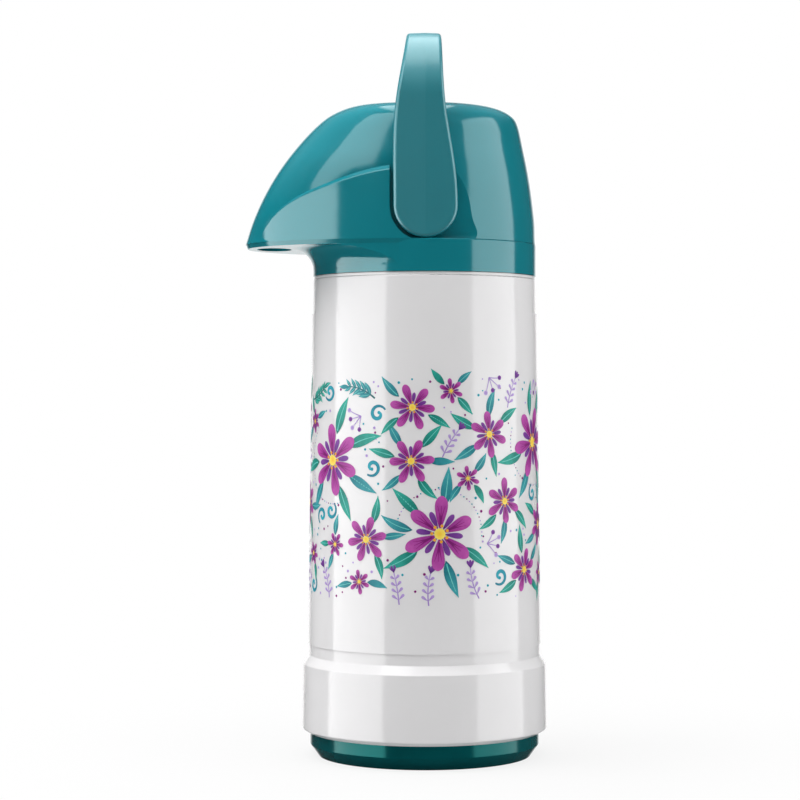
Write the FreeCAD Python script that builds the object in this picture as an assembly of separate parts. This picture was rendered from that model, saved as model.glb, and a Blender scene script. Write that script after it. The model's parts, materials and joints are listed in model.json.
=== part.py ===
import FreeCAD, Part
import math
import os

# Pump pot: a press-top vacuum flask with a pouring spout and a swinging bail.
# Millimetres, Z up. The origin is the centre of the underside that the pot stands on.
# The spout points towards -X, and the bail turns about an axis along Y.

# Fits and clearances
push_gap = 0.1
running_gap = 0.05
sliding_gap = 0.4
seat_gap = 0.3
lip_gap = 0.15

# Base
foot_reveal = 4.3
foot_bevel_height = 6.1
base_reveal = 1.0
base_height = 12.5
base_floor = 3.0
base_edge_round = 0.8
spigot_wall = 2.0
spigot_height = 9.0
recess_count = 4
recess_circle = 42.0
recess_length = 16.0
recess_width = 7.0
recess_depth = 1.2

# White outer body
skirt_edge_radius = 60.3
skirt_radius = 63.4
skirt_top_radius = 62.9
skirt_bevel_height = 1.9
skirt_height = 35.2
skirt_shoulder_height = 4.5
body_foot_radius = 59.9
body_top_radius = 57.5
body_height = 233.7
body_wall = 2.2
body_edge_round = 0.7

# Printed film round the body
film_thickness = 0.4
film_gap = 0.05
film_bottom_height = 58.0
film_top_drop = 17.8

# Glass flask
glass = 1.6
vacuum_gap = 3.4
flask_air_gap = 6.3
flask_foot_gap = 9.0
flask_crown_radius = 80.0
flask_knuckle_radius = 22.0
shoulder_radius = 25.0
shoulder_angle = 60.0
neck_radius = 32.5
neck_height = 15.0
lip_width = 3.5
lip_height = 3.0
lip_bevel = 1.0

# Rubber that carries the flask
cushion_radius = 30.0
cushion_wall = 12.0
gasket_width = 2.8
gasket_flange = 4.6
gasket_thickness = 3.3
gasket_depth = 4.7

# Neck ring on top of the body
ring_reveal = 0.2
ring_flange = 1.3
ring_web = 2.3
ring_skirt_wall = 1.6
ring_skirt_depth = 6.4
ring_spigot_wall = 2.0
ring_spigot_height = 9.3

# Collar and spout underside
collar_proud = 0.2
collar_wall = 2.5
collar_height = 16.3
collar_edge_bevel = 0.5
collar_web = 2.0
collar_bore = 40.0
jaw_depth = 2.2
jaw_draft = 0.8
spout_fillet = 11.0
tray_thickness = 2.5
outlet_x = -78.0
outlet_half_length = 9.0
outlet_half_width = 12.5

# Hood of the head
head_height = 70.5
spout_reach = 92.3
spout_tip_height = 1.9
brow_reach = 50.0
brow_height = 65.9
nose_radius = 132.0
back_lean = 9.3
back_lean_power = 1.71
crown_corner_height = 8.4
crown_corner_width = 14.2
crown_brow_width = 8.5
cover_wall = 2.2
low_fullness = 2.2
high_fullness = 2.5
fullness_height = 21.0
flank_share = 0.985
nose_points = 17
shoulder_level_shares = [0, 0.13, 0.28, 0.46, 0.65, 0.84]
crown_corner_steps = 6

# Cheeks that stand proud of the hood beside the spout
cheek_tip_proud = 0.3
cheek_draft = 0.042
cheek_top_height = 42.0
cheek_ledge_slope = 0.6
cheek_edge_round = 1.2

# Crease line on the cheeks: how far behind the spout's tip, and how high above the parting plane
crease_start_setback = 8.3
crease_start_height = 3.0
crease_lip_setback = 10.8
crease_lip_height = 6.9
crease_nose_setback = 15.8
crease_nose_height = 12.8
crease_middle_setback = 28.3
crease_middle_height = 20.9
crease_rear_setback = 40.9
crease_rear_height = 25.6
crease_pocket_height = 33.9
crease_peak_height = 34.2

# Bail and its pockets
pocket_depth = 5.6
eye_radius = 16.0
eye_floor_gap = 0.4
pocket_gap = 1.9
arm_gap = 0.4
arm_thickness = 5.5
arm_ridge = 0.6
bail_rise = 90.0
bail_corner_radius = 34.0
bail_waist_height = 50.7
bail_front_waist = 15.0
bail_back_waist = 9.9
bail_front_top = 8.8
bail_back_top = 7.8
bail_top_lean = 0.05
bail_edge_round = 1.8
peg_radius = 4.0
peg_length = 5.0
peg_boss_radius = 8.0
peg_boss_depth = 4.0

# Press button
button_half_length = 30.0
button_half_width = 28.0
button_rise = 0.8
button_wall = 2.0
button_top_wall = 3.0
button_skirt = 21.0
button_lip = 1.4
button_lip_height = 2.4
button_edge_round = 1.0
guide_wall = 2.0
guide_depth = 18.5

# Pump
deck_thickness = 3.0
plug_gap = 1.0
plug_wall = 2.0
plug_depth = 4.2
seal_width = 7.0
bellows_x = 8.5
bellows_radius = 18.0
bellows_fold_depth = 4.0
bellows_wall = 1.0
bellows_height = 50.0
bellows_folds = 8
clamp_wall = 0.8
clamp_height = 3.0
plate_thickness = 2.5
plate_inset = 2.0
stem_radius = 9.0
stem_wall = 2.0
valve_pin_radius = 2.9
valve_cap_radius = 5.0
valve_cap_height = 1.0
air_hole_radius = 1.6
air_hole_circle = 5.0
air_hole_count = 3
spring_radius = 11.0
spring_wire = 0.8
spring_turns = 7

# Water way
tube_x = -18.0
tube_radius = 4.0
tube_wall = 1.2
tube_foot_gap = 9.0
socket_wall = 2.6
socket_depth = 9.0
socket_step = 1.0
housing_wall = 1.4
seat_radius = 2.0
seat_height = 2.9
ball_radius = 3.0
ball_play = 0.5
ball_lift = 2.5
pipe_plug = 3.0
pipe_rise = 5.0
pipe_bend = 8.0
spout_bend = 12.0
pipe_drop = 3.0
nozzle_wall = 1.8
nozzle_bore = 4.4
nozzle_mouth_gap = 0.6

# Screws that hold deck, collar and cover together
screw_circle = 46.0
screw_radius = 1.45
screw_hole_gap = 0.3
screw_head_radius = 3.0
screw_head_height = 1.8
screw_reach = 10.0
boss_radius = 3.6
boss_height = 16.0
boss_rib = 2.0

# Heights that follow from the sizes above
body_top = base_height + body_height
ring_top = body_top + ring_flange
collar_bottom = ring_top + seat_gap
parting = collar_bottom + collar_height
crown = parting + head_height
pivot_height = parting + eye_radius + eye_floor_gap
deck_top = parting - collar_web
deck_bottom = deck_top - deck_thickness
lip_bottom = ring_top + gasket_thickness
lip_top = lip_bottom + lip_height
flask_bottom = base_floor + flask_foot_gap

# Radii that follow from the sizes above
base_radius = skirt_edge_radius - base_reveal
foot_radius = base_radius - foot_reveal
spigot_bore = body_foot_radius - body_wall
body_bore = body_top_radius - body_wall
flask_radius = body_bore - flask_air_gap
mouth_radius = neck_radius - glass - vacuum_gap - glass
lip_radius = neck_radius + lip_width
ring_bore = neck_radius + push_gap + gasket_width + push_gap
collar_radius = body_top_radius + collar_proud
collar_inner = collar_radius - collar_wall
ring_spigot_radius = collar_inner - sliding_gap
head_radius = body_top_radius
pocket_floor = head_radius - pocket_depth
pocket_radius = eye_radius + pocket_gap
plug_radius = mouth_radius - plug_gap
peg_hole_radius = peg_radius + running_gap

UP = FreeCAD.Vector(0, 0, 1)
ORIGIN = FreeCAD.Vector(0, 0, 0)


def at(x, y, z):
    return FreeCAD.Vector(x, y, z)


def save(name, shape):
    shape.exportStep("parts/" + name + ".step")
    print(name, "solids", len(shape.Solids), "volume", round(shape.Volume, 1), "valid", shape.isValid())


def turned_edges(edges):
    return Part.Face(Part.Wire(edges)).revolve(ORIGIN, UP, 360)


def turned(outline):
    """Solid of revolution about Z from its (radius, height) corners."""
    corners = [at(radius, 0, height) for radius, height in outline]
    return turned_edges(Part.makePolygon(corners + corners[:1]).Edges)


def rod(radius, low, high, x=0, y=0):
    return Part.makeCylinder(radius, high - low, at(x, y, low), UP)


def tube(outer, inner, low, high, x=0, y=0):
    return rod(outer, low, high, x, y).cut(rod(inner, low, high, x, y))


def cross_rod(radius, low_y, high_y, x, z):
    return Part.makeCylinder(radius, high_y - low_y, at(x, low_y, z), at(0, 1, 0))


def oval(half_x, half_y, low, high, x=0):
    """Upright prism with an elliptical plan."""
    ellipse = Part.Ellipse(ORIGIN, max(half_x, half_y), min(half_x, half_y)).toShape()
    face = Part.Face(Part.Wire(ellipse))
    if half_y > half_x:
        face.rotate(ORIGIN, UP, 90)
    face.translate(at(x, 0, low))
    return face.extrude(at(0, 0, high - low))


def rounded_rims(shape, radius, rims):
    """Round the circular edges that run through the given (radius, height) points."""
    edges = []
    for edge in shape.Edges:
        box = edge.BoundBox
        for reach, height in rims:
            flat = abs(box.ZMin - height) < push_gap and abs(box.ZMax - height) < push_gap
            if flat and abs(box.XMax - reach) < push_gap:
                edges.append(edge)
    return shape.makeFillet(radius, edges)


def arc_about(centre, radius, start, end):
    """Arc in the XZ plane about a (radius, height) centre, between two angles in degrees."""
    points = []
    for angle in (start, (start + end) / 2, end):
        turn = math.radians(angle)
        points.append(at(centre[0] + radius * math.cos(turn), 0, centre[1] + radius * math.sin(turn)))
    return Part.Arc(*points).toShape()


def line(start, end):
    return Part.makeLine(at(*start), at(*end))


def base_cap():
    radius = spigot_bore - push_gap
    top = base_height + spigot_height
    cap = turned([
        (0, 0), (foot_radius, 0), (base_radius, foot_bevel_height), (base_radius, base_height),
        (radius, base_height), (radius, top), (radius - spigot_wall, top),
        (radius - spigot_wall, base_floor), (0, base_floor)])
    cap = rounded_rims(cap, base_edge_round, [(foot_radius, 0), (base_radius, foot_bevel_height)])
    for index in range(recess_count):
        straight = recess_length - recess_width
        recess = Part.makeBox(straight, recess_width, recess_depth)
        recess.translate(at(recess_circle - straight / 2, -recess_width / 2, 0))
        for end in (-straight / 2, straight / 2):
            recess = recess.fuse(rod(recess_width / 2, 0, recess_depth, recess_circle + end))
        recess.rotate(ORIGIN, UP, (index + 0.5) * 360 / recess_count)
        cap = cap.cut(recess)
    return cap


def body_outline():
    """Outer line of the white body from its lower edge to its top."""
    skirt_top = base_height + skirt_height
    return [
        (skirt_edge_radius, base_height), (skirt_radius, base_height + skirt_bevel_height),
        (skirt_top_radius, skirt_top), (body_foot_radius, skirt_top + skirt_shoulder_height),
        (body_top_radius, body_top)]


def body_shell():
    shoulder = base_height + skirt_height + skirt_shoulder_height
    land_top = base_height + spigot_height
    skirt_bore = skirt_top_radius - body_wall
    step = skirt_bore - spigot_bore
    inside = [
        (body_bore, body_top), (spigot_bore, shoulder), (skirt_bore, shoulder - step - body_wall),
        (skirt_bore, land_top + step), (spigot_bore, land_top), (spigot_bore, base_height)]
    return rounded_rims(turned(body_outline() + inside), body_edge_round, body_outline())


def film_radius(height):
    """Outer radius of the tapered body above its skirt."""
    foot = base_height + skirt_height + skirt_shoulder_height
    share = (height - foot) / (body_top - foot)
    return body_foot_radius + share * (body_top_radius - body_foot_radius)


def print_sleeve():
    film_top = body_top - film_top_drop
    low = film_radius(film_bottom_height) + film_gap
    high = film_radius(film_top) + film_gap
    return turned([
        (low, film_bottom_height), (low + film_thickness, film_bottom_height),
        (high + film_thickness, film_top), (high, film_top)])


def glass_line(inset):
    """Edges of one glass surface from the axis up to the foot of the straight neck."""
    turn = math.radians(shoulder_angle)
    crown_centre = (0, flask_bottom + flask_crown_radius)
    knuckle_x = flask_radius - flask_knuckle_radius
    spread = flask_crown_radius - flask_knuckle_radius
    knuckle_centre = (knuckle_x, crown_centre[1] - math.sqrt(spread ** 2 - knuckle_x ** 2))
    tangent = -math.degrees(math.acos(knuckle_x / spread))
    hollow_radius = (flask_radius - neck_radius) / (1 - math.cos(turn)) - shoulder_radius
    reach = shoulder_radius + hollow_radius
    shoulder_height = lip_bottom - neck_height - reach * math.sin(turn)
    shoulder_centre = (flask_radius - shoulder_radius, shoulder_height)
    hollow_centre = (shoulder_centre[0] + reach * math.cos(turn), lip_bottom - neck_height)
    wall = flask_radius - inset
    return [
        arc_about(crown_centre, flask_crown_radius - inset, -90, tangent),
        arc_about(knuckle_centre, flask_knuckle_radius - inset, tangent, 0),
        line((wall, 0, knuckle_centre[1]), (wall, 0, shoulder_height)),
        arc_about(shoulder_centre, shoulder_radius - inset, 0, shoulder_angle),
        arc_about(hollow_centre, hollow_radius + inset, 180 + shoulder_angle, 180)]


def glass_wall(inset, top_points):
    """One blown wall: two glass lines joined at the axis and by the given corners at the top."""
    outer = glass_line(inset)
    inner = glass_line(inset + glass)
    neck_foot = lip_bottom - neck_height
    corners = [(neck_radius - inset, neck_foot)] + top_points + [(neck_radius - inset - glass, neck_foot)]
    top = [line((a[0], 0, a[1]), (b[0], 0, b[1])) for a, b in zip(corners, corners[1:])]
    axis = line((0, 0, flask_bottom + inset), (0, 0, flask_bottom + inset + glass))
    return turned_edges(Part.__sortEdges__(outer + top + inner + [axis]))


def flask_outer_wall():
    return glass_wall(0, [(neck_radius, lip_bottom), (neck_radius - glass, lip_bottom)])


def flask_inner_wall():
    inset = glass + vacuum_gap
    outer = neck_radius - inset
    return glass_wall(inset, [
        (outer, lip_bottom), (lip_radius, lip_bottom), (lip_radius, lip_top - lip_bevel),
        (lip_radius - lip_bevel, lip_top), (mouth_radius, lip_top)])


def base_cushion():
    block = tube(cushion_radius, cushion_radius - cushion_wall, base_floor, flask_bottom + flask_foot_gap)
    bowl = flask_crown_radius
    seat = Part.makeSphere(bowl + push_gap, at(0, 0, flask_bottom + bowl))
    return block.cut(seat)


def neck_ring():
    skirt = body_bore - push_gap
    bottom = ring_top - ring_web
    flange = body_top_radius - ring_reveal
    spigot = ring_spigot_radius
    spigot_inner = spigot - ring_spigot_wall
    spigot_top = ring_top + ring_spigot_height
    return turned([
        (ring_bore, bottom), (skirt - ring_skirt_wall, bottom),
        (skirt - ring_skirt_wall, body_top - ring_skirt_depth), (skirt, body_top - ring_skirt_depth),
        (skirt, body_top), (flange, body_top), (flange, ring_top), (spigot, ring_top),
        (spigot, spigot_top), (spigot_inner, spigot_top), (spigot_inner, ring_top), (ring_bore, ring_top)])


def neck_gasket():
    inner = neck_radius + push_gap
    outer = inner + gasket_width
    return turned([
        (inner, ring_top - gasket_depth), (outer, ring_top - gasket_depth), (outer, ring_top),
        (outer + gasket_flange, ring_top), (outer + gasket_flange, lip_bottom), (inner, lip_bottom)])


def nose_arc_reach(height):
    """How far the front arc of the hood stands out, at a height above the parting plane."""
    chord_x = spout_reach - brow_reach
    chord_z = brow_height - spout_tip_height
    chord = math.hypot(chord_x, chord_z)
    depth = math.sqrt(nose_radius ** 2 - (chord / 2) ** 2)
    centre_x = (spout_reach + brow_reach) / 2 - depth * chord_z / chord
    centre_z = (spout_tip_height + brow_height) / 2 - depth * chord_x / chord
    return centre_x + math.sqrt(nose_radius ** 2 - (height - centre_z) ** 2)


def hood_sizes(height, inset):
    """Front reach, half width, back radius and fullness of one level section of the hood."""
    level = max(height, 0) + inset
    corner_start = head_height - crown_corner_height
    rise = min(max(level - corner_start, 0) / crown_corner_height, 1)
    corner_share = 1 - math.sqrt(1 - rise ** 2)
    reach = nose_arc_reach(level) - crown_brow_width * corner_share - inset
    lean = back_lean * (level / corner_start) ** back_lean_power
    back = head_radius - lean - crown_corner_width * corner_share - inset
    half_width = min(pocket_floor - inset, flank_share * back)
    fullness = low_fullness + (high_fullness - low_fullness) * min(level / fullness_height, 1)
    return reach, half_width, back, fullness


def hood_section(height, inset):
    """Closed line round the hood: full round nose, two flat flanks and a circular back."""
    reach, half_width, back, fullness = hood_sizes(height, inset)
    level = parting + height
    nose = []
    for index in range(nose_points):
        turn = math.pi * (index / (nose_points - 1) - 0.5)
        along = abs(math.cos(turn)) ** (2 / fullness)
        across = math.copysign(abs(math.sin(turn)) ** (2 / fullness), turn)
        nose.append(at(-reach * along, half_width * across, level))
    nose[0] = at(0, -half_width, level)
    nose[-1] = at(0, half_width, level)
    curve = Part.BSplineCurve()
    curve.interpolate(nose, InitialTangent=at(-1, 0, 0), FinalTangent=at(1, 0, 0))
    flank_end = math.sqrt(back ** 2 - half_width ** 2)
    rear = Part.Arc(at(flank_end, half_width, level), at(back, 0, level), at(flank_end, -half_width, level))
    return Part.Wire([
        curve.toShape(), line((0, half_width, level), (flank_end, half_width, level)),
        rear.toShape(), line((flank_end, -half_width, level), (0, -half_width, level))])


def hood(inset):
    """Solid inside the hood's outer skin, or inside its inner skin when inset is the wall."""
    shoulder = head_height - crown_corner_height - inset
    heights = [share * shoulder for share in shoulder_level_shares]
    for step in range(crown_corner_steps + 1):
        turn = math.pi / 2 * step / crown_corner_steps
        heights.append(shoulder + crown_corner_height * math.sin(turn))
    if inset > 0:
        heights[0] = -inset
    return Part.makeLoft([hood_section(height, inset) for height in heights], True, False)


def pocket(grow):
    """Cut for the bail's eye, open upwards and to the back, across the whole width."""
    radius = pocket_radius + grow
    top = pivot_height + bail_rise
    deep = 2 * head_radius
    low = pivot_height - radius
    turn = math.sqrt(0.5) * radius
    corner = Part.Arc(at(-radius, 0, pivot_height), at(-turn, 0, pivot_height - turn), at(0, 0, low))
    side = Part.Wire([
        corner.toShape(), line((0, 0, low), (deep, 0, low)), line((deep, 0, low), (deep, 0, top)),
        line((deep, 0, top), (-radius, 0, top)), line((-radius, 0, top), (-radius, 0, pivot_height))])
    face = Part.Face(side)
    face.translate(at(0, -deep, 0))
    return face.extrude(at(0, 2 * deep, 0))


def cheek_section(height, inset):
    level = max(height, 0)
    reach = spout_reach + cheek_tip_proud - cheek_draft * level - inset
    half_width = head_radius - cheek_draft * level - inset
    ellipse = Part.Ellipse(at(0, 0, parting + height), reach, half_width)
    front = Part.ArcOfEllipse(ellipse, math.pi / 2, 3 * math.pi / 2).toShape()
    back = Part.makeLine(front.Vertexes[-1].Point, front.Vertexes[0].Point)
    return Part.Wire([front, back])


def below_crease(inset):
    """Room under the crease: its line runs from the spout's tip up to the bail's pocket."""
    line_points = [
        (spout_reach - crease_start_setback, crease_start_height),
        (spout_reach - crease_lip_setback, crease_lip_height),
        (spout_reach - crease_nose_setback, crease_nose_height),
        (spout_reach - crease_middle_setback, crease_middle_height),
        (spout_reach - crease_rear_setback, crease_rear_height),
        (pocket_radius, crease_pocket_height), (0, crease_peak_height)]
    points = []
    for reach, height in line_points:
        share = min(reach / spout_reach, 1)
        edge = head_radius * math.sqrt(1 - share ** 2)
        points.append(at(-reach, 0, parting + height - inset - cheek_ledge_slope * (head_radius - edge)))
    curve = Part.BSplineCurve()
    curve.interpolate(points)
    low = parting - head_radius
    side = Part.Wire([
        curve.toShape(), line(points[-1], (0, 0, low)), line((0, 0, low), (points[0].x, 0, low)),
        line((points[0].x, 0, low), points[0])])
    halves = []
    for sign in (-1, 1):
        face = Part.Face(side)
        face.translate(at(0, sign * head_radius, 0))
        halves.append(face.extrude(at(0, -sign * head_radius, cheek_ledge_slope * head_radius)))
    return halves[0].fuse(halves[1])


def cheeks(inset):
    low = -inset
    block = Part.makeLoft([cheek_section(low, inset), cheek_section(cheek_top_height, inset)], True, True)
    return block.common(below_crease(inset)).cut(pocket(inset))


def head_skin(inset):
    return hood(inset).fuse(cheeks(inset))


def ledge_edges(skin):
    """Outer edges of the ledges on the cheeks, where they end at the bail's pocket."""
    found = []
    for edge in skin.Edges:
        box = edge.BoundBox
        at_pocket = abs(box.XMax + pocket_radius) < push_gap and box.ZMin > parting + push_gap
        if at_pocket and box.XLength > pocket_radius:
            found.append(edge)
    reach = max(edge.BoundBox.YMax for edge in found) - push_gap
    return [edge for edge in found if max(edge.BoundBox.YMax, -edge.BoundBox.YMin) > reach]


def screw_places():
    turn = math.sqrt(0.5) * screw_circle
    return [(x, y) for x in (-turn, turn) for y in (-turn, turn)]


def screw_bosses():
    """Four posts, each with a rib out to the side wall of the cover."""
    low = parting + tray_thickness
    posts = []
    for x, y in screw_places():
        post = rod(boss_radius, low, low + boss_height, x, y)
        rib = Part.makeBox(boss_rib, head_radius, boss_height)
        rib.translate(at(x - boss_rib / 2, 0 if y > 0 else -head_radius, low))
        inside = Part.makeBox(boss_rib, abs(y), boss_height)
        inside.translate(at(x - boss_rib / 2, 0 if y > 0 else y, low))
        posts.append(post.fuse(rib.cut(inside)))
    return posts


def head_cover():
    outer = head_skin(0)
    outer = outer.makeFillet(cheek_edge_round, ledge_edges(outer))
    guide_low = crown - guide_depth
    posts = screw_bosses()
    posts.append(oval(button_half_length + guide_wall, button_half_width + guide_wall, guide_low, crown))
    for sign in (-1, 1):
        low, high = sorted((sign * pocket_floor, sign * (pocket_floor - peg_boss_depth)))
        posts.append(cross_rod(peg_boss_radius, low, high, 0, pivot_height))
    cuts = [
        oval(button_half_length, button_half_width, guide_low, crown),
        cross_rod(peg_hole_radius, -head_radius, head_radius, 0, pivot_height)]
    for x, y in screw_places():
        cuts.append(rod(screw_radius + running_gap, parting, parting + tray_thickness + screw_reach, x, y))
    cavity = head_skin(cover_wall).cut(posts)
    return outer.cut([cavity] + cuts)


def spout_collar():
    ring = turned([
        (collar_inner, collar_bottom), (collar_radius, collar_bottom),
        (collar_radius, parting - collar_edge_bevel), (collar_radius - collar_edge_bevel, parting),
        (collar_bore, parting), (collar_bore, deck_top), (collar_inner, deck_top)])
    reach = collar_radius + spout_fillet
    jaw_low = parting - jaw_depth
    low = jaw_low - spout_fillet
    hollow = arc_about((reach, low), spout_fillet, 180, 90)
    fillet = turned_edges([
        hollow, line((reach, 0, jaw_low), (collar_inner, 0, jaw_low)),
        line((collar_inner, 0, jaw_low), (collar_inner, 0, low)),
        line((collar_inner, 0, low), (collar_radius, 0, low))])
    jaw_foot = cheek_section(-jaw_depth, jaw_draft)
    plan = Part.Face(jaw_foot).extrude(at(0, 0, -spout_fillet))
    jaw = Part.makeLoft([jaw_foot, cheek_section(0, 0)], True, True)
    jaw = jaw.cut(rod(collar_inner, jaw_low, parting))
    slab = Part.makeBox(4 * spout_reach, 4 * spout_reach, tray_thickness)
    slab.translate(at(-2 * spout_reach, -2 * spout_reach, parting))
    tray = head_skin(cover_wall + lip_gap).common(slab)
    collar = ring.fuse(fillet.common(plan)).fuse(jaw).fuse(tray)
    collar = collar.cut(rod(collar_bore, deck_top, parting + tray_thickness))
    tray_top = parting + tray_thickness
    collar = collar.cut(oval(outlet_half_length, outlet_half_width, jaw_low, tray_top, outlet_x))
    for x, y in screw_places():
        collar = collar.cut(rod(screw_radius + screw_hole_gap, deck_top, tray_top, x, y))
    return collar


def pump_deck():
    deck = rod(collar_inner - lip_gap, deck_bottom, deck_top)
    plug_bottom = deck_bottom - plug_depth
    plug = tube(plug_radius, plug_radius - plug_wall, plug_bottom, deck_bottom)
    socket_bottom = deck_bottom - socket_depth
    socket = rod(tube_radius + socket_wall, socket_bottom, deck_bottom, tube_x)
    deck = deck.fuse(plug).fuse(socket.common(rod(plug_radius, socket_bottom, deck_bottom)))
    deck = deck.cut(rod(tube_radius + running_gap, socket_bottom, deck_bottom + socket_step, tube_x))
    deck = deck.cut(rod(tube_radius - tube_wall, deck_bottom, deck_top, tube_x))
    for index in range(air_hole_count):
        turn = 2 * math.pi * index / air_hole_count
        x = bellows_x + air_hole_circle * math.cos(turn)
        y = air_hole_circle * math.sin(turn)
        deck = deck.cut(rod(air_hole_radius, deck_bottom, deck_top, x, y))
    for x, y in screw_places():
        deck = deck.cut(rod(screw_radius + screw_hole_gap, deck_bottom, deck_top, x, y))
    return deck


def mouth_seal():
    inner = plug_radius + push_gap
    return tube(inner + seal_width, inner, lip_top + seat_gap, deck_bottom)


def dip_tube():
    foot = flask_bottom + glass + vacuum_gap + glass + tube_foot_gap
    return tube(tube_radius, tube_radius - tube_wall, foot, deck_bottom + socket_step, tube_x)


def ball_height():
    """Height of the ball's centre where it lies on the edge of its seat, with a little play."""
    return deck_top + seat_height + math.sqrt(ball_radius ** 2 - seat_radius ** 2) + running_gap


def pipe_bottom():
    return ball_height() + ball_radius + ball_lift + seat_gap


def valve_housing():
    top = pipe_bottom() + pipe_plug
    housing = rod(tube_radius + housing_wall, deck_top, top, tube_x)
    housing = housing.cut(rod(seat_radius, deck_top, deck_top + seat_height, tube_x))
    housing = housing.cut(rod(ball_radius + ball_play, deck_top + seat_height, top, tube_x))
    return housing.cut(rod(tube_radius + running_gap, pipe_bottom(), top, tube_x))


def check_ball():
    return Part.makeSphere(ball_radius, at(tube_x, 0, ball_height()))


def pipe_path():
    """Centre line of the spout pipe: up, forward over a bend, and down to the outlet."""
    low = pipe_bottom()
    bend_low = low + pipe_plug + pipe_rise
    level = bend_low + pipe_bend
    end = level - spout_bend
    return Part.Wire([
        line((tube_x, 0, low), (tube_x, 0, bend_low)),
        arc_about((tube_x - pipe_bend, bend_low), pipe_bend, 0, 90),
        line((tube_x - pipe_bend, 0, level), (outlet_x + spout_bend, 0, level)),
        arc_about((outlet_x + spout_bend, end), spout_bend, 90, 180),
        line((outlet_x, 0, end), (outlet_x, 0, end - pipe_drop))])


def pipe_end():
    return pipe_bottom() + pipe_plug + pipe_rise + pipe_bend - spout_bend - pipe_drop


def swept(path, radius):
    start = path.OrderedVertexes[0].Point
    ring = Part.Wire(Part.makeCircle(radius, start, path.OrderedEdges[0].tangentAt(0)))
    return path.makePipeShell([ring], True, False)


def spout_pipe():
    path = pipe_path()
    pipe = swept(path, tube_radius).cut(swept(path, tube_radius - tube_wall))
    low = pipe_bottom()
    notch = Part.makeBox(2 * tube_radius, tube_wall, tube_wall)
    notch.translate(at(tube_x - tube_radius, -tube_wall / 2, low))
    return pipe.cut(notch)


def spout_nozzle():
    grip = tube_radius + running_gap
    outer = grip + nozzle_wall
    low = parting + nozzle_mouth_gap
    step = pipe_end()
    nozzle = rod(outer, low, step + pipe_drop, outlet_x)
    nozzle = nozzle.cut(rod(nozzle_bore, low, step, outlet_x))
    return nozzle.cut(rod(grip, step, step + pipe_drop, outlet_x))


def deck_screws():
    screws = []
    for x, y in screw_places():
        shaft = rod(screw_radius, deck_bottom, parting + tray_thickness + screw_reach, x, y)
        head = rod(screw_head_radius, deck_bottom - screw_head_height, deck_bottom, x, y)
        screws.append(shaft.fuse(head))
    return Part.makeCompound(screws)


def bellows():
    """Folded rubber sleeve that stands on the deck and reaches up to the driving plate."""
    pitch = bellows_height / bellows_folds
    outside = []
    for fold in range(bellows_folds):
        low = deck_top + fold * pitch
        outside.append((bellows_radius, low))
        outside.append((bellows_radius - bellows_fold_depth, low + pitch / 2))
    outside.append((bellows_radius, deck_top + bellows_height))
    inside = [(radius - bellows_wall, height) for radius, height in reversed(outside)]
    sleeve = turned(outside + inside)
    sleeve.translate(at(bellows_x, 0, 0))
    return sleeve


def bellows_clamp():
    inner = bellows_radius + push_gap
    return tube(inner + clamp_wall, inner, deck_top, deck_top + clamp_height, bellows_x)


def plate_bottom():
    return deck_top + bellows_height + seat_gap


def return_spring():
    """One wire: quarter-turn arcs that climb from the deck to the plate."""
    low = deck_top + spring_wire + seat_gap
    high = plate_bottom() - spring_wire - seat_gap
    quarters = 4 * spring_turns
    edges = []

    def on_spring(step):
        turn = step * math.pi / 2
        climb = low + (high - low) * step / quarters
        return at(bellows_x + spring_radius * math.cos(turn), spring_radius * math.sin(turn), climb)

    for quarter in range(quarters):
        edges.append(Part.Arc(*[on_spring(quarter + share) for share in (0, 0.5, 1)]).toShape())
    return swept(Part.Wire(edges), spring_wire)


def bellows_plate():
    low = plate_bottom()
    top = crown - button_top_wall
    plate = rod(bellows_radius - plate_inset, low, low + plate_thickness, bellows_x)
    stem = tube(stem_radius, stem_radius - stem_wall, low + plate_thickness, top, bellows_x)
    return plate.fuse(stem).cut(rod(valve_pin_radius + push_gap, low, low + plate_thickness, bellows_x))


def air_valve():
    low = plate_bottom()
    pin = rod(valve_pin_radius, low, low + plate_thickness, bellows_x)
    cap = rod(valve_cap_radius, low + plate_thickness, low + plate_thickness + valve_cap_height, bellows_x)
    return pin.fuse(cap)


def press_button():
    half_length = button_half_length - sliding_gap
    half_width = button_half_width - sliding_gap
    low = crown - button_skirt
    top = crown + button_rise
    dome_radius = (half_length ** 2 + button_rise ** 2) / (2 * button_rise)
    dome = Part.makeSphere(dome_radius, at(0, 0, top - dome_radius))
    button = oval(half_length, half_width, low, top).common(dome)
    rim = [edge for edge in button.Edges if edge.BoundBox.ZMin > crown - button_rise]
    button = button.makeFillet(button_edge_round, rim)
    stop = min(crown - guide_depth - seat_gap, low + button_lip_height)
    button = button.fuse(oval(half_length + button_lip, half_width + button_lip, low, stop))
    ceiling = crown - button_top_wall
    return button.cut(oval(half_length - button_wall, half_width - button_wall, low, ceiling))


def bail_strap(x, ridge_drop):
    """Line of the bent strap at one station across its width."""
    inner = pocket_floor + arm_gap
    outer = inner + arm_thickness - ridge_drop
    foot = pivot_height - 2 * eye_radius
    top = pivot_height + bail_rise
    outer_top = top - ridge_drop
    inner_top = top - arm_thickness
    bend = top - bail_corner_radius
    turn = math.sqrt(0.5)
    edges = []
    for reach, ceiling in ((outer, outer_top), (inner, inner_top)):
        radius = ceiling - bend
        for sign in (-1, 1):
            middle = at(x, sign * (reach - radius + radius * turn), bend + radius * turn)
            corner = Part.Arc(at(x, sign * reach, bend), middle, at(x, sign * (reach - radius), ceiling))
            edges.append(line((x, sign * reach, foot), (x, sign * reach, bend)))
            edges.append(corner.toShape())
        edges.append(line((x, radius - reach, ceiling), (x, reach - radius, ceiling)))
    for sign in (-1, 1):
        edges.append(line((x, sign * inner, foot), (x, sign * outer, foot)))
    return Part.Wire(Part.__sortEdges__(edges))


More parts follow.
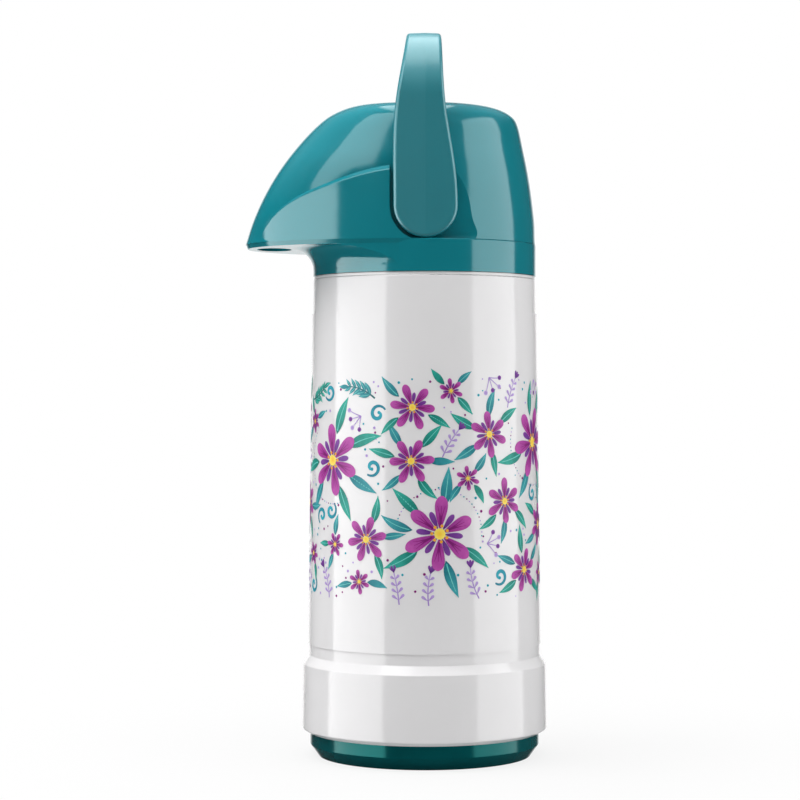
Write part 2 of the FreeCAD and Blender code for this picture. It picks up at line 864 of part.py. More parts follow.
def bail_side():
    """Side view of the bail: round eye below, narrowing to the grip."""
    top = pivot_height + bail_rise
    waist = pivot_height + bail_waist_height
    wide = 2 * head_radius
    sides = []
    edges = [(-1, bail_front_waist, bail_front_top), (1, bail_back_waist, bail_back_top)]
    for sign, at_waist, at_top in edges:
        curve = Part.BSplineCurve()
        points = [at(sign * eye_radius, -wide, pivot_height), at(sign * at_waist, -wide, waist),
                  at(sign * at_top, -wide, top + arm_thickness)]
        curve.interpolate(points, InitialTangent=at(0, 0, 1), FinalTangent=at(-bail_top_lean * sign, 0, 1))
        sides.append(curve.toShape())
    eye = Part.Arc(at(-eye_radius, -wide, pivot_height), at(0, -wide, pivot_height - eye_radius),
                   at(eye_radius, -wide, pivot_height))
    lid = line((-bail_front_top, -wide, top + arm_thickness), (bail_back_top, -wide, top + arm_thickness))
    wire = Part.Wire(Part.__sortEdges__(sides + [eye.toShape(), lid]))
    return Part.Face(wire).extrude(at(0, 2 * wide, 0))


def on_bail_rim(edge):
    """True for the long edges down both sides of the strap, not for its seams."""
    across = edge.BoundBox.XLength < push_gap and edge.BoundBox.ZLength < push_gap
    seam = across and edge.Length < arm_thickness
    return abs(edge.CenterOfMass.x) > bail_back_top / 2 and not seam


def handle():
    half = eye_radius + bail_edge_round
    stations = [(-half, arm_ridge), (0, 0), (half, arm_ridge)]
    strap = Part.makeLoft([bail_strap(x, drop) for x, drop in stations], True, True)
    bail = strap.common(bail_side())
    bail = bail.makeFillet(bail_edge_round, [edge for edge in bail.Edges if on_bail_rim(edge)])
    pegs = []
    for sign in (-1, 1):
        inner = pocket_floor + arm_gap + arm_thickness / 2
        low, high = sorted((sign * inner, sign * (pocket_floor - peg_length)))
        pegs.append(cross_rod(peg_radius, low, high, 0, pivot_height))
    for peg in pegs:
        bail = bail.fuse(peg)
    return bail


pieces = [
    base_cap, body_shell, print_sleeve, flask_outer_wall, flask_inner_wall, base_cushion, neck_ring,
    neck_gasket, spout_collar, head_cover, pump_deck, mouth_seal, dip_tube, valve_housing, check_ball,
    spout_pipe, spout_nozzle, deck_screws, bellows, bellows_clamp, return_spring, bellows_plate,
    air_valve, press_button, handle]

os.makedirs("parts", exist_ok=True)
for piece in pieces:
    save(piece.__name__, piece())
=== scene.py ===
import json
import math
import random

import bpy
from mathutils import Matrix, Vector


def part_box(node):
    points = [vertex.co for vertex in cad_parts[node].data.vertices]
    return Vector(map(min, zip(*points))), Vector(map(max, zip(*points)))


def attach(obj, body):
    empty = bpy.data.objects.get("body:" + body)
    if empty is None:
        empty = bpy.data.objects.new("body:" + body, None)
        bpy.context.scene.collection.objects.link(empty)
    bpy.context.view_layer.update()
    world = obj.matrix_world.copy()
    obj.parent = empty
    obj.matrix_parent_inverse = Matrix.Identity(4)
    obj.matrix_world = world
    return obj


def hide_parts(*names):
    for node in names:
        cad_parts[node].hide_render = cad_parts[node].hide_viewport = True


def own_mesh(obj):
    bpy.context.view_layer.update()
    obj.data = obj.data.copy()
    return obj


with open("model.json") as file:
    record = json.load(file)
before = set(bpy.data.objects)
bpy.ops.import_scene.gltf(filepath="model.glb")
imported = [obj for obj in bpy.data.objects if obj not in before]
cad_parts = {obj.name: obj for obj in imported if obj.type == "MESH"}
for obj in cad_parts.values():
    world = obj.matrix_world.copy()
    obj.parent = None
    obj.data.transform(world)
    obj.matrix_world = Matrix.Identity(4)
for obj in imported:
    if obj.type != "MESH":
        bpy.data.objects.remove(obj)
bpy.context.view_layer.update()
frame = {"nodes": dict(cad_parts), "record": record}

# Looks of a press-top pump pot: teal head with spout and bail, white printed case, teal base.
# Metres, Z up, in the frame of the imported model: the spout points to -X, the camera stands on -Y.

MM = 0.001

# Camera
camera_place = Vector((-0.0127, -1.2, 0.1838))
view_width = 0.416
sensor_width = 36.0

# Soft boxes: azimuth is counted from the camera's side, positive towards +X; heights are above the floor.
# The mirror panels are seen in the gloss alone and the lamps light the colours alone. The top panel hangs
# below the top lamp, because a glossy ray that meets a lamp in the same plane would miss the panel.
side_distance = 1.0
left_panel = {"azimuth": -69.5, "width": 1.18, "low": -0.35, "high": 0.52, "radiance": 3.9}
left_high_panel = {"azimuth": -38, "width": 0.75, "low": 0.52, "high": 2.2, "radiance": 2.6}
right_panel = {"azimuth": 75.5, "width": 1.04, "low": -0.35, "high": 1.05, "radiance": 2.6}
right_lamp = {"azimuth": 75, "width": 1.0, "low": 0.0, "high": 1.0, "radiance": 1.7}
top_lamp = {"place": Vector((0, 0, 1.15)), "aim": Vector((0, 0, 0)), "width": 1.1, "radiance": 3.6}
top_panel = {"place": Vector((0, 0.05, 1.10)), "width": 0.34, "depth": 1.1, "radiance": 2.6}
left_lamp = {"place": Vector((-0.85, -0.25, 1.05)), "aim": Vector((0, 0, 0.25)), "width": 0.8,
             "radiance": 5.0}
back_lamp = {"place": Vector((-0.45, 0.3, 1.25)), "aim": Vector((-0.05, 0, 0.3)), "width": 0.8,
             "radiance": 2.5}
ambient_light = 0.24
room_gloss = 0.06
ceiling_gloss = 0.34
ceiling_edge = 0.25
ceiling_full = 0.60
backdrop_edge = 0.90
backdrop_full = 0.97

# Stage
floor_size = 12.0
shadow_radius = 0.07
white_radius = 0.30
floor_glow = 0.84
floor_colour = "#C4C4C4"

# Printed design, in millimetres round and up the film
band_low = 84.0
band_high = 196.0
large_heights = (0.30, 0.70, 0.42, 0.74, 0.26, 0.62)
large_radius = 19.0
middle_count = 17
middle_radius = 12.0
small_count = 16
small_radius = 6.5
petal_count = 6
blossom_gap = 0.8
twig_count = 20
tendril_count = 22
sprig_count = 22
berry_count = 16
dot_count = 260
ink_lift = 0.03
layer_lift = 0.02
stroke_lift = 0.0007
stroke_lifts = 24
brush_tip = 0.12
stroke_step = 1.3
twig_length = 19.0
twig_room = 7.5
sprig_length = 16.0
sprig_room = 6.0
tendril_size = 4.4
tendril_room = 4.6
berry_stalk = 8.0
berry_radius = 1.2
berry_room = 4.0
arc_dot_radius = 0.38
arc_dot_gap = 1.9
dot_room = 1.1
dot_tries = 4000
dot_radii = (0.4, 0.8)

# Skins of the mouldings and the ink, in millimetres where they are sizes
flow_mark_size = 35.0
gloss_spread = 0.2
peel_depth = 0.02
peel_strength = 0.05
ink_wash_size = 2.5
ink_roughness = 0.40
ink_ior = 1.30

draw = random.Random(11)


def linear(hex_colour):
    """Linear RGBA of an sRGB hex colour."""
    parts = [int(hex_colour[i:i + 2], 16) / 255 for i in (1, 3, 5)]
    return [p / 12.92 if p <= 0.04045 else ((p + 0.055) / 1.055) ** 2.4 for p in parts] + [1.0]


def add(tree, kind, settings=(), links=()):
    """Add a shader node. Settings are attributes or input values, links join outputs to its inputs."""
    node = tree.nodes.new(kind)
    for name, value in dict(settings).items():
        if isinstance(name, int) or name in node.inputs:
            node.inputs[name].default_value = value
        else:
            setattr(node, name, value)
    for name, output in dict(links).items():
        tree.links.new(output, node.inputs[name])
    return node


def new_material(name):
    material = bpy.data.materials.new(name)
    material.use_nodes = True
    material.node_tree.nodes.clear()
    return material, material.node_tree


def moulded(name, deep, pale, rough, grain, settings=()):
    """A moulded skin: colour drifts between two shades, gloss and relief vary with a fine grain."""
    material, tree = new_material(name)
    place = add(tree, "ShaderNodeTexCoord")
    drift = add(tree, "ShaderNodeTexNoise", {"Scale": 1 / (flow_mark_size * MM), "Detail": 3.0},
                {"Vector": place.outputs["Object"]})
    colour = add(tree, "ShaderNodeMix", {"data_type": "RGBA", 6: linear(deep), 7: linear(pale)},
                 {0: drift.outputs["Fac"]})
    fine = add(tree, "ShaderNodeTexNoise", {"Scale": 1 / (grain * MM), "Detail": 4.0},
               {"Vector": place.outputs["Object"]})
    gloss = add(tree, "ShaderNodeMapRange", {"To Min": rough * (1 - gloss_spread),
                                             "To Max": rough * (1 + gloss_spread)},
                {"Value": fine.outputs["Fac"]})
    relief = add(tree, "ShaderNodeBump", {"Strength": peel_strength, "Distance": peel_depth * MM},
                 {"Height": fine.outputs["Fac"]})
    skin = add(tree, "ShaderNodeBsdfPrincipled", settings,
               {"Base Color": colour.outputs[2], "Roughness": gloss.outputs["Result"],
                "Normal": relief.outputs["Normal"]})
    add(tree, "ShaderNodeOutputMaterial", (), {"Surface": skin.outputs["BSDF"]})
    return material


def ink(name, root, tip):
    """Matt printing ink: runs from one colour to another along each brush stroke, thin in places."""
    material, tree = new_material(name)
    place = add(tree, "ShaderNodeTexCoord")
    along = add(tree, "ShaderNodeAttribute", {"attribute_name": "along"})
    wash = add(tree, "ShaderNodeTexNoise", {"Scale": 1 / (ink_wash_size * MM), "Detail": 3.0},
               {"Vector": place.outputs["Object"]})
    uneven = add(tree, "ShaderNodeMath", {"operation": "MULTIPLY_ADD", 1: 0.7},
                 {0: wash.outputs["Fac"], 2: along.outputs["Fac"]})
    blend = add(tree, "ShaderNodeMapRange", {"From Min": 0.25, "From Max": 1.45},
                {"Value": uneven.outputs["Value"]})
    colour = add(tree, "ShaderNodeMix", {"data_type": "RGBA", 6: linear(root), 7: linear(tip)},
                 {0: blend.outputs["Result"]})
    skin = add(tree, "ShaderNodeBsdfPrincipled", {"Roughness": ink_roughness, "IOR": ink_ior},
               {"Base Color": colour.outputs[2]})
    add(tree, "ShaderNodeOutputMaterial", (), {"Surface": skin.outputs["BSDF"]})
    return material


# Injection-moulded polypropylene: even deep colour under a clear gloss, soft flow marks,
# a trace of orange peel.
teal_polypropylene = moulded("teal_moulded_polypropylene", "#08747F", "#0C7C88", 0.12, 2.0,
                             {"IOR": 1.66, "Specular Tint": linear("#E2FFFF")})
# The bail's mould is duller: the same teal with a satin sheen.
satin_polypropylene = moulded("satin_teal_moulded_polypropylene", "#08747F", "#0C7C88", 0.34, 1.5,
                              {"IOR": 1.66, "Specular Tint": linear("#E2FFFF"), "Coat Weight": 1.0,
                               "Coat Roughness": 0.34})
# The base ring: the head's teal moulding made darker, partly its own deeper teal and partly painted shade on
# the low ring; its gloss is tinted teal.
deep_and_shaded_base_polypropylene = moulded("deep_teal_moulded_polypropylene", "#02484C", "#035458", 0.14, 2.0,
                             {"IOR": 1.49, "Specular Tint": linear("#70FFF4")})
white_polypropylene = moulded("white_moulded_polypropylene", "#E4E3E4", "#E9E8E9", 0.12, 2.0, {"IOR": 1.50})
# Polyester film wrapped round the case: the same white, a little smoother than the moulding.
white_film = moulded("white_polyester_film", "#E4E3E4", "#E9E8E9", 0.11, 6.0, {"IOR": 1.52})
# Blown glass with silver behind it: a bright mirror, a little wavy.
silvered_glass = moulded("silvered_blown_glass", "#C9CED2", "#DDE1E4", 0.06, 18.0,
                         {"Metallic": 1.0, "Coat Weight": 1.0, "Coat Roughness": 0.03})
# Moulded silicone: milky, with a waxy half gloss.
milky_silicone = moulded("milky_moulded_silicone", "#D6D4CC", "#E0DED7", 0.42, 0.8, {"IOR": 1.41})
# Moulded rubber: nearly black and dull.
black_rubber = moulded("black_moulded_rubber", "#161616", "#222222", 0.62, 0.6, {"IOR": 1.52})
# Natural polypropylene: uncoloured, milky white, satin.
natural_polypropylene = moulded("natural_moulded_polypropylene", "#DDE0DD", "#E8EAE6", 0.34, 1.2,
                                {"IOR": 1.49})
# Drawn stainless wire and turned stainless screws: bright grey metal with fine drawing marks.
stainless_wire = moulded("drawn_stainless_steel", "#A9AAAD", "#C4C5C8", 0.24, 0.4, {"Metallic": 1.0})
stainless_screw = moulded("turned_stainless_steel", "#9FA0A2", "#B9BABC", 0.32, 0.3, {"Metallic": 1.0})

finishes = {
    "teal_plastic": teal_polypropylene, "base_plastic": deep_and_shaded_base_polypropylene,
    "white_plastic": white_polypropylene, "printed_film": white_film, "flask_glass": silvered_glass,
    "seal_rubber": milky_silicone, "cushion_rubber": black_rubber, "pump_plastic": natural_polypropylene,
    "spring_steel": stainless_wire, "screw_steel": stainless_screw}

for subpart in frame["record"]["subparts"]:
    mesh = frame["nodes"][subpart["node"]].data
    mesh.materials.clear()
    mesh.materials.append(finishes[subpart["material_slot"]])
frame["nodes"]["handle"].data.materials[0] = satin_polypropylene

# The bellows and the coil spring in it, which shorten between the deck and the button as the button goes
# down, become pieces with meshes of their own, carried with the head.
for name, node, finish in (("pump_bellows", "bellows", "seal_rubber"),
                           ("pump_spring", "return_spring", "spring_steel")):
    piece = bpy.data.objects.new(name, frame["nodes"][node].data.copy())
    bpy.context.scene.collection.objects.link(piece)
    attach(piece, "head")
    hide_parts(node)
    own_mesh(piece)

# The film that carries the print, read from its solid
film_low, film_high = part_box("print_sleeve")
film_points = [vertex.co for vertex in frame["nodes"]["print_sleeve"].data.vertices]
film_foot_radius = max(math.hypot(p.x, p.y) for p in film_points if p.z < film_low.z + MM)
film_top_radius = max(math.hypot(p.x, p.y) for p in film_points if p.z > film_high.z - MM)
film_taper = (film_top_radius - film_foot_radius) / (film_high.z - film_low.z)
film_radius = (film_foot_radius + film_top_radius) / 2


def on_film(across, height, lift):
    """Point and outward normal on the film, from millimetres round it and above the floor."""
    turn = across * MM / film_radius
    radius = film_foot_radius + film_taper * (height * MM - film_low.z) + lift * MM
    place = Vector((radius * math.sin(turn), -radius * math.cos(turn), height * MM))
    normal = Vector((math.sin(turn), -math.cos(turn), -film_taper)).normalized()
    return place, normal


def polar(centre, angle, reach):
    """The point on the film at an angle and a distance from a centre."""
    return (centre[0] + reach * math.cos(angle), centre[1] + reach * math.sin(angle))


class PrintedPiece:
    """Brush strokes and dots of ink that lie on the film and become one mesh."""

    def __init__(self, name, layer, inks):
        self.name = name
        self.layer = layer
        self.inks = inks
        self.points = []
        self.normals = []
        self.along = []
        self.faces = []
        self.face_inks = []
        self.strokes = 0

    def next_lift(self):
        self.strokes += 1
        return ink_lift + layer_lift * self.layer + stroke_lift * (self.strokes % stroke_lifts)

    def put(self, across, height, lift, share):
        place, normal = on_film(across, height, lift)
        self.points.append(place)
        self.normals.append(normal)
        self.along.append(share)
        return len(self.points) - 1

    def stroke(self, spine, widths, ink_index, shares=(0.0, 1.0)):
        """A brush stroke along spine points, with a half width at each of them."""
        lift = self.next_lift()
        columns = max(2, math.ceil(2 * max(widths) / stroke_step))
        rows = []
        last = len(spine) - 1
        for index, (across, height) in enumerate(spine):
            before = spine[max(index - 1, 0)]
            after = spine[min(index + 1, last)]
            run = math.hypot(after[0] - before[0], after[1] - before[1])
            side = (-(after[1] - before[1]) / run, (after[0] - before[0]) / run)
            share = shares[0] + (shares[1] - shares[0]) * index / last
            half = max(widths[index], brush_tip)
            row = []
            for column in range(columns + 1):
                reach = half * (1 - 2 * column / columns)
                row.append(self.put(across + reach * side[0], height + reach * side[1], lift, share))
            rows.append(row)
        for low, high in zip(rows, rows[1:]):
            for column in range(columns):
                self.faces.append((low[column], low[column + 1], high[column + 1], high[column]))
                self.face_inks.append(ink_index)

    def dot(self, centre, radius, ink_index):
        """A round dot of ink: rings of points about its middle."""
        lift = self.next_lift()
        sides = max(10, math.ceil(2 * math.pi * radius / stroke_step))
        middle = self.put(centre[0], centre[1], lift, 0.0)
        ring = []
        for index in range(sides):
            turn = 2 * math.pi * index / sides
            across, height = polar(centre, turn, radius)
            ring.append(self.put(across, height, lift, 1.0))
        for index in range(sides):
            self.faces.append((middle, ring[index], ring[(index + 1) % sides]))
            self.face_inks.append(ink_index)

    def make(self):
        mesh = bpy.data.meshes.new(self.name)
        mesh.from_pydata(self.points, [], self.faces)
        mesh.attributes.new("along", "FLOAT", "POINT").data.foreach_set("value", self.along)
        for material in self.inks:
            mesh.materials.append(material)
        mesh.polygons.foreach_set("material_index", self.face_inks)
        mesh.polygons.foreach_set("use_smooth", [True] * len(self.faces))
        mesh.normals_split_custom_set_from_vertices(self.normals)
        piece = bpy.data.objects.new(self.name, mesh)
        bpy.context.scene.collection.objects.link(piece)
        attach(piece, "pot")


plum_ink = ink("plum_screen_ink", "#8E1F86", "#C65AB2")
violet_ink = ink("violet_screen_ink", "#54207A", "#8B4BA6")
streak_ink = ink("deep_plum_screen_ink", "#680F60", "#93217F")
lilac_ink = ink("lilac_screen_ink", "#9C7CC6", "#C4AEE2")
leaf_ink = ink("sea_green_screen_ink", "#06685F", "#34B4A2")
water_leaf_ink = ink("water_green_screen_ink", "#0C6474", "#42ABB2")
rib_ink = ink("pale_green_screen_ink", "#55C2B8", "#84D5CE")
vine_ink = ink("deep_green_screen_ink", "#065C60", "#0C7F82")
tendril_ink = ink("turquoise_screen_ink", "#11758C", "#2DB3C4")
yellow_ink = ink("yellow_screen_ink", "#F2C12E", "#F7E36A")
orange_ink = ink("orange_screen_ink", "#E8901E", "#F2B33C")

stems = PrintedPiece("printed_stems", 0, [vine_ink, lilac_ink])
tendrils = PrintedPiece("printed_tendrils", 1, [tendril_ink])
leaves = PrintedPiece("printed_leaves", 2, [leaf_ink, water_leaf_ink, rib_ink])
sprigs = PrintedPiece("printed_sprigs", 2, [lilac_ink, violet_ink])
blossoms = PrintedPiece("printed_blossoms", 4, [violet_ink, plum_ink])
streaks = PrintedPiece("printed_streaks", 6, [streak_ink])
stamens = PrintedPiece("printed_stamens", 7, [yellow_ink, orange_ink])
dots = PrintedPiece("printed_dots", 1, [tendril_ink, lilac_ink, streak_ink])

girth = 2 * math.pi * film_radius / MM
taken = []


def gap_between(place, other):
    """Distance between two places on the film, the short way round it."""
    across = (place[0] - other[0] + girth / 2) % girth - girth / 2
    return math.hypot(across, place[1] - other[1])


def is_free(place, radius):
    return all(gap_between(place, other) > radius + size for other, size in taken)


def scatter(count, radius, tries=600):
    """Seeded free places in the band for motifs of one radius."""
    found = []
    for _ in range(tries):
        place = (draw.uniform(0, girth), draw.uniform(band_low + radius, band_high - radius))
        if len(found) < count and is_free(place, radius):
            taken.append((place, radius))
            found.append(place)
    return found


def bent_line(start, angle, length, bend, count):
    """Points of a line that leaves start at an angle and turns by bend on its way."""
    points = [start]
    for index in range(count):
        heading = angle + bend * (index + 0.5) / count
        points.append(polar(points[-1], heading, length / count))
    return points


def leaf(start, angle, length, half_width, ink_index):
    """A pointed leaf with a paler rib."""
    count = 12
    spine = bent_line(start, angle, length, draw.uniform(-0.6, 0.6), count)
    widths = [half_width * math.sin(math.pi * (i / count) ** 0.8) for i in range(count + 1)]
    leaves.stroke(spine, widths, ink_index)
    rib = 0.11 * half_width
    leaves.stroke(spine[1:-2], [rib * (1 - i / count) for i in range(count - 2)], 2)


def petal(piece, ink_index, centre, angle, inner, outer, half_width, blunt):
    """One petal, widest beyond its middle; a higher blunt makes its end rounder."""
    count = 14
    spine = []
    widths = []
    for index in range(count + 1):
        share = math.sin(math.pi / 2 * index / count)
        spine.append(polar(centre, angle, inner + (outer - inner) * share))
        widths.append(half_width * share ** 0.8 * (1 - share ** blunt) ** 0.6)
    piece.stroke(spine, widths, ink_index)


def blossom(centre, radius):
    """An open blossom of oval petals over short violet sepals, with streaks and stamens."""
    turned = draw.uniform(0, 2 * math.pi)
    for index in range(petal_count):
        angle = turned + 2 * math.pi * (index + 0.5) / petal_count
        petal(blossoms, 0, centre, angle, 0.12 * radius, 0.62 * radius, 0.12 * radius, 4)
    for index in range(petal_count):
        angle = turned + 2 * math.pi * index / petal_count + draw.uniform(-0.06, 0.06)
        reach = radius * draw.uniform(0.92, 1.0)
        petal(blossoms, 1, centre, angle, 0.1 * radius, reach, 0.27 * radius, 4)
        for fan in (-0.14, 0, 0.14):
            spine = [polar(centre, angle + fan * t / 6, radius * (0.22 + 0.085 * t)) for t in range(7)]
            streaks.stroke(spine, [0.024 * radius * (1 - t / 7) for t in range(7)], 0)
    stamens.dot(centre, 0.15 * radius, 0)
    for index in range(7):
        stamens.dot(polar(centre, turned + 2 * math.pi * index / 7, 0.21 * radius), 0.042 * radius, 1)


def leaf_ring(centre, radius, count, length):
    """Leaves that look out from under a blossom wherever there is room for them."""
    turned = draw.uniform(0, 2 * math.pi)
    for index in range(count):
        angle = turned + 2 * math.pi * index / count + draw.uniform(-0.25, 0.25)
        reach = length * draw.uniform(0.8, 1.1)
        middle = polar(centre, angle, radius + 0.45 * reach)
        inside = band_low < middle[1] < band_high
        if inside and is_free(middle, 0.16 * reach):
            taken.append((middle, 0.28 * reach))
            leaf(polar(centre, angle, 0.72 * radius), angle, 0.28 * radius + reach, 0.2 * reach, index % 2)


def dotted_arc(centre, radius):
    """A row of dots partly round a blossom."""
    first = draw.uniform(0, 2 * math.pi)
    for index in range(int(radius * 1.6)):
        spot = polar(centre, first + index * arc_dot_gap / radius, radius)
        if band_low < spot[1] < band_high:
            dots.dot(spot, arc_dot_radius, index % 3)


def tendril(place, size):
    """A lead-in that winds up into a spiral."""
    turns = 1.7
    count = 44
    hand = draw.choice((-1, 1))
    heading = draw.uniform(0, 2 * math.pi)
    spine = [polar(place, heading + hand * math.pi / 2 + math.pi, size)]
    for index in range(count):
        share = index / count
        radius = size * (1 - 0.86 * share)
        step = size * 2.4 * math.pi * turns * 0.5 / count * (1.15 - share)
        heading += hand * step / radius
        spine.append(polar(spine[-1], heading, step))
    widths = [0.25 + 0.16 * size * math.sin(math.pi * (0.1 + 0.8 * i / count)) for i in range(count + 1)]
    tendrils.stroke(spine, widths, 0)
    tendrils.dot(spine[-1], 0.9, 0)


def twig(place, length):
    """A bent twig with pairs of slim leaves."""
    count = 12
    angle = draw.uniform(0, 2 * math.pi)
    bend = draw.choice((-1, 1)) * draw.uniform(0.6, 1.1)
    spine = bent_line(polar(place, angle + math.pi, length / 2), angle - bend / 2, length, bend, count)
    stems.stroke(spine, [0.45 - 0.02 * i for i in range(count + 1)], 0)
    shade = draw.randrange(2)
    for index in range(2, count, 2):
        heading = angle - bend / 2 + bend * index / count
        for side in (-1, 1):
            reach = length * (0.4 - 0.014 * index)
            leaf(spine[index], heading + side * 0.72, reach, 0.17 * reach, shade)
    leaf(spine[-2], angle + bend / 2, 0.36 * length, 0.06 * length, shade)


def bud_sprig(place, length):
    """A lilac stem with paired buds and a violet tip."""
    count = 14
    angle = math.pi / 2 + draw.uniform(-0.7, 0.7)
    bend = draw.uniform(-0.8, 0.8)
    spine = bent_line(polar(place, angle + math.pi, length / 2), angle - bend / 2, length, bend, count)
    stems.stroke(spine, [0.32] * (count + 1), 1)
    for index in range(2, count, 3):
        heading = angle - bend / 2 + bend * index / count
        for side in (-1, 1):
            reach = 0.27 * length - 0.12 * index
            petal(sprigs, 0, spine[index], heading + side * 0.85, 0.4, reach, 0.06 * length, 7)
    for fan in (-0.42, 0.42, 0):
        petal(sprigs, 1, spine[-1], angle + bend / 2 + fan, 0.0, 0.26 * length, 0.06 * length, 5)


def berry_spray(place):
    """Short stalks that each end in a lilac or violet berry."""
    angle = draw.uniform(0, 2 * math.pi)
    foot = polar(place, angle + math.pi, berry_stalk / 2)
    for index, spread in enumerate((-0.75, -0.25, 0.25, 0.75)):
        spine = bent_line(foot, angle + spread, berry_stalk - 1.2 * (index % 2), 0.4 * spread, 7)
        stems.stroke(spine, [0.26] * 8, 1)
        sprigs.dot(spine[-1], berry_radius, index % 2)


large_places = []
for index, share in enumerate(large_heights):
    place = (girth * (index + 0.12 + draw.uniform(-0.08, 0.08)) / len(large_heights),
             band_low + (band_high - band_low) * share)
    taken.append((place, large_radius + blossom_gap))
    large_places.append(place)
middle_places = scatter(middle_count, middle_radius + blossom_gap)
small_places = scatter(small_count, small_radius + blossom_gap)
for places, radius, leaf_count in ((large_places, large_radius, 7), (middle_places, middle_radius, 6),
                                   (small_places, small_radius, 4)):
    for place in places:
        blossom(place, radius)
        leaf_ring(place, radius, leaf_count, 7.0 + 0.35 * radius)
for place in large_places:
    dotted_arc(place, large_radius + 3.0)
for place in scatter(twig_count, twig_room):
    twig(place, twig_length)
for place in scatter(sprig_count, sprig_room):
    bud_sprig(place, sprig_length)
for place in scatter(tendril_count, tendril_room):
    tendril(place, tendril_size)
for place in scatter(berry_count, berry_room):
    berry_spray(place)
for index, place in enumerate(scatter(dot_count, dot_room, dot_tries)):
    dots.dot(place, draw.uniform(*dot_radii), index % 3)

for printed in (stems, tendrils, leaves, sprigs, blossoms, streaks, stamens, dots):
    printed.make()


def softbox(name, place, facing, width, height, radiance):
    """A rectangular soft box of even radiance."""
    light = bpy.data.lights.new(name, "AREA")
    light.shape = "RECTANGLE"
    light.size = width
    light.size_y = height
    light.energy = math.pi * radiance * width * height
    lamp = bpy.data.objects.new(name, light)
    lamp.location = place
    lamp.rotation_euler = facing.to_track_quat("-Z", "Y").to_euler()
    bpy.context.scene.collection.objects.link(lamp)
    return lamp


def side_softbox(name, box):
    """An upright soft box beside the pot that faces its axis."""
    turn = math.radians(box["azimuth"])
    outward = Vector((math.sin(turn), -math.cos(turn), 0))
    middle = Vector((0, 0, (box["low"] + box["high"]) / 2))
    return softbox(name, middle + side_distance * outward, -outward, box["width"], box["high"] - box["low"],
                   box["radiance"])


def aimed_softbox(name, box):
    """A square soft box above the pot that faces the point it is aimed at."""
    facing = box["aim"] - box["place"]
    return softbox(name, box["place"], facing, box["width"], box["width"], box["radiance"])


side_softbox("left_mirror_panel", left_panel).visible_diffuse = False
side_softbox("left_high_mirror_panel", left_high_panel).visible_diffuse = False
side_softbox("right_mirror_panel", right_panel).visible_diffuse = False
side_softbox("right_lamp", right_lamp).visible_glossy = False
aimed_softbox("left_lamp", left_lamp).visible_glossy = False
aimed_softbox("back_lamp", back_lamp).visible_glossy = False
aimed_softbox("top_lamp", top_lamp).visible_glossy = False
top_mirror_panel = softbox("top_mirror_panel", top_panel["place"], Vector((0, 0, -1)), top_panel["width"],
                           top_panel["depth"], top_panel["radiance"])
top_mirror_panel.visible_diffuse = False


def seen_rays(tree):
    """One for camera, glossy and transmission rays, which see the white background, and zero for the rest."""
    path = add(tree, "ShaderNodeLightPath")
    both = add(tree, "ShaderNodeMath", {"operation": "MAXIMUM"},
               {0: path.outputs["Is Camera Ray"], 1: path.outputs["Is Glossy Ray"]})
    return add(tree, "ShaderNodeMath", {"operation": "MAXIMUM"},
               {0: both.outputs["Value"], 1: path.outputs["Is Transmission Ray"]}).outputs["Value"]


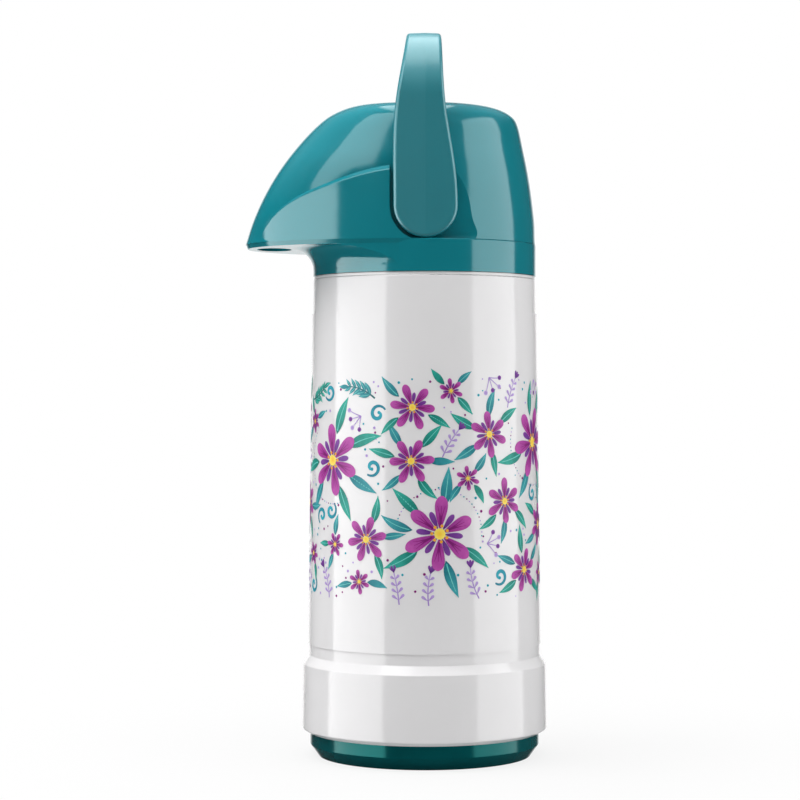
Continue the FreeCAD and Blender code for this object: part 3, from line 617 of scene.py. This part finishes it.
def white_surroundings():
    """A dim room that the camera sees as white, with a white backdrop behind the pot for reflections."""
    world = bpy.data.worlds.new("white_surroundings")
    world.use_nodes = True
    tree = world.node_tree
    tree.nodes.clear()
    path = add(tree, "ShaderNodeLightPath")
    place = add(tree, "ShaderNodeTexCoord")
    aim = add(tree, "ShaderNodeSeparateXYZ", (), {"Vector": place.outputs["Generated"]})
    backdrop = add(tree, "ShaderNodeMapRange", {"interpolation_type": "SMOOTHSTEP", "From Min": backdrop_edge,
                                                "From Max": backdrop_full, "To Min": room_gloss},
                   {"Value": aim.outputs["Y"]})
    ceiling = add(tree, "ShaderNodeMapRange", {"interpolation_type": "SMOOTHSTEP", "From Min": ceiling_edge,
                                               "From Max": ceiling_full, "To Max": ceiling_gloss},
                  {"Value": aim.outputs["Z"]})
    room = add(tree, "ShaderNodeMath", {"operation": "MAXIMUM"},
               {0: backdrop.outputs["Result"], 1: ceiling.outputs["Result"]})
    seen = add(tree, "ShaderNodeMath", {"operation": "MAXIMUM"},
               {0: room.outputs["Value"], 1: path.outputs["Is Camera Ray"]})
    level = add(tree, "ShaderNodeMix", {2: ambient_light}, {0: seen_rays(tree), 3: seen.outputs["Value"]})
    light = add(tree, "ShaderNodeBackground", {"Color": (1, 1, 1, 1)}, {"Strength": level.outputs[0]})
    add(tree, "ShaderNodeOutputWorld", (), {"Surface": light.outputs["Background"]})
    bpy.context.scene.world = world


def pale_floor():
    """A pale floor that takes the pot's soft shadow and fades into the white background."""
    material, tree = new_material("pale_paper_sweep")
    place = add(tree, "ShaderNodeTexCoord")
    reach = add(tree, "ShaderNodeVectorMath", {"operation": "LENGTH"}, {0: place.outputs["Object"]})
    fade = add(tree, "ShaderNodeMapRange", {"interpolation_type": "SMOOTHSTEP", "From Min": shadow_radius,
                                            "From Max": white_radius, "To Min": floor_glow, "To Max": 1.0},
               {"Value": reach.outputs["Value"]})
    share = add(tree, "ShaderNodeMath", {"operation": "MULTIPLY"},
                {0: fade.outputs["Result"], 1: seen_rays(tree)})
    paper = add(tree, "ShaderNodeBsdfDiffuse", {"Color": linear(floor_colour)})
    glow = add(tree, "ShaderNodeEmission", {"Color": (1, 1, 1, 1), "Strength": 1.0})
    mix = add(tree, "ShaderNodeMixShader", (),
              {0: share.outputs["Value"], 1: paper.outputs["BSDF"], 2: glow.outputs["Emission"]})
    add(tree, "ShaderNodeOutputMaterial", (), {"Surface": mix.outputs["Shader"]})
    half = floor_size / 2
    mesh = bpy.data.meshes.new("floor")
    corners = [(-half, -half, 0), (half, -half, 0), (half, half, 0), (-half, half, 0)]
    mesh.from_pydata(corners, [], [(0, 1, 2, 3)])
    mesh.materials.append(material)
    floor = bpy.data.objects.new("floor", mesh)
    bpy.context.scene.collection.objects.link(floor)
    floor.visible_glossy = False


white_surroundings()
pale_floor()

camera = bpy.data.objects.new("camera", bpy.data.cameras.new("camera"))
camera.data.sensor_width = sensor_width
camera.data.lens = sensor_width * -camera_place.y / view_width
camera.location = camera_place
camera.rotation_euler = (math.pi / 2, 0, 0)
bpy.context.scene.collection.objects.link(camera)
bpy.context.scene.camera = camera
bpy.context.scene.view_settings.view_transform = "Standard"
